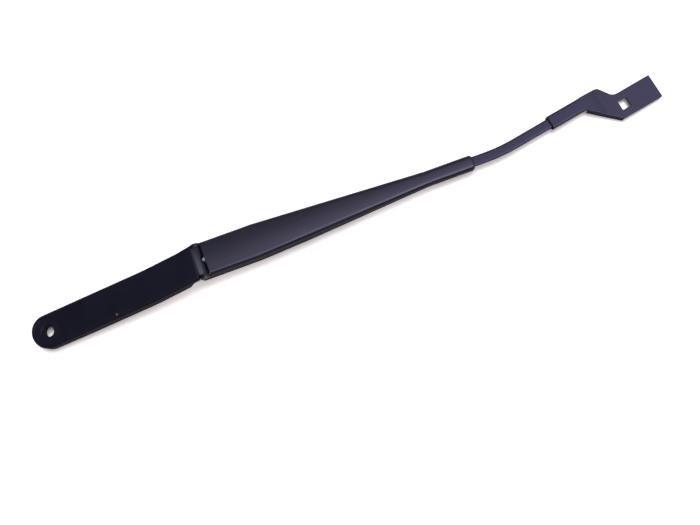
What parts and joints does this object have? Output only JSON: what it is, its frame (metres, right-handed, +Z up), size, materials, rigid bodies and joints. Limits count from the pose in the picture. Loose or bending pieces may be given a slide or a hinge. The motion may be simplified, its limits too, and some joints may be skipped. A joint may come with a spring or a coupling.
{
  "type": "wiper arm",
  "caption": "Front wiper arm: die-cast head with a spindle bore, hinged folded channel with an inner tension spring, bent flat rod and a cranked blade fitting.",
  "frame": {"origin": "on the spindle bore's axis, in the plane of the head's flat foot", "axes": "+X along the folded channel towards the blade fitting, +Y across the arm along the hinge pin, +Z up, away from the glass"},
  "size_m": [0.5845, 0.0478, 0.0241],
  "materials": {
    "cast_black": "satin black paint on a die casting",
    "sheet_black": "semi-gloss black paint on pressed steel",
    "plated_steel": "zinc-plated steel",
    "spring_steel": "phosphated spring wire",
    "bush_plastic": "black moulded plastic"
  },
  "bodies": {
    "head": {"mounting_head": "cast_black", "hinge_bush_left": "bush_plastic", "hinge_bush_right": "bush_plastic", "spring_pin": "plated_steel"},
    "arm": {"arm_channel": "sheet_black", "arm_rod": "sheet_black", "blade_fitting": "sheet_black", "hinge_pin": "plated_steel"},
    "spring_link": {"spring_clip": "plated_steel", "tension_spring": "spring_steel"}
  },
  "joints": [
    {"name": "arm_hinge", "type": "hinge", "parent": "head", "child": "arm", "pos_m": [0.1398, 0.0096, 0.0185], "axis": [0, -1, 0], "range_deg": [0, 75], "stiffness_Nm_per_rad": 0.2, "springref_deg": -171.89, "deforming": ["tension_spring"]},
    {"name": "spring_swing", "type": "hinge", "parent": "head", "child": "spring_link", "pos_m": [0.136, 0.0096, 0.01034], "axis": [0, -1, 0], "range_deg": [0, 72]}
  ],
  "couplings": [
    {"joint": "spring_swing", "follows": "arm_hinge", "ratio": 0.944}
  ]
}
